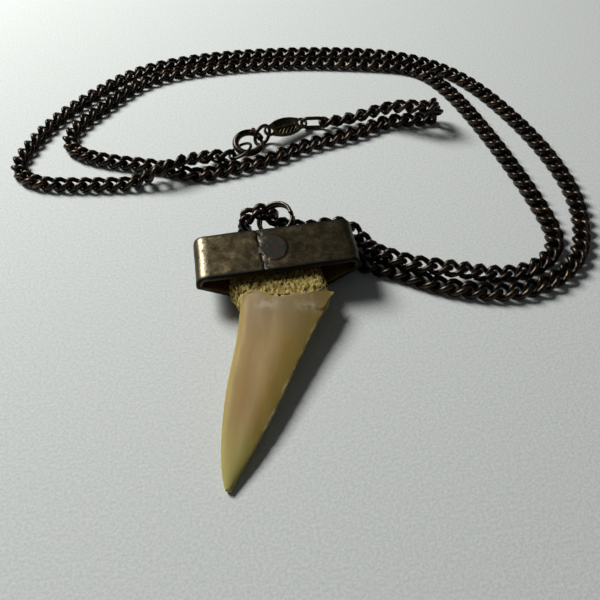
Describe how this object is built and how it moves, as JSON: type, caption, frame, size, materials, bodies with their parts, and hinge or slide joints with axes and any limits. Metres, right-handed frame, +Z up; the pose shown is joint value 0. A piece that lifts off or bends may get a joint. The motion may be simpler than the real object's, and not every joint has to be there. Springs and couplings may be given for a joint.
{
  "type": "shark tooth necklace",
  "caption": "Shark tooth set in a dark metal cap, hung by a split ring on a long curb chain that lies in loops and closes with a spring ring clasp and an end tag.",
  "frame": {"origin": "on the cap's flat back, where it rests on the table: half way along the cap and 3.7 mm in from its mouth", "axes": "+Z up from the table, +X along the cap's long side, the tooth points towards -Y and the chain lies towards +Y"},
  "size_m": [0.1017, 0.1049, 0.0072],
  "materials": {
    "tooth": "smooth enamel with a matte root",
    "cap_metal": "mottled old bronze patina",
    "chain_metal": "dark worn plating",
    "dark_metal": "dark worn plating",
    "bolt_metal": "worn to copper on the nib",
    "tag_metal": "dark with brass rubbed bare at the ends"
  },
  "bodies": {
    "necklace": {"tooth": "tooth", "cap": "cap_metal", "bail_ring": "dark_metal", "chain": "chain_metal", "end_ring": "dark_metal", "clasp_ring": "dark_metal", "clasp_link": "dark_metal", "end_tag": "tag_metal", "tag_ring": "dark_metal"},
    "bolt": {"clasp_bolt": "bolt_metal"}
  },
  "joints": [
    {"name": "clasp_bolt_slide", "type": "hinge", "parent": "necklace", "child": "bolt", "pos_m": [-0.0012, 0.0335, 0.00215], "axis": [0, -0.2419, 0.9703], "range_deg": [0, 58], "stiffness_Nm_per_rad": 0.0005}
  ]
}
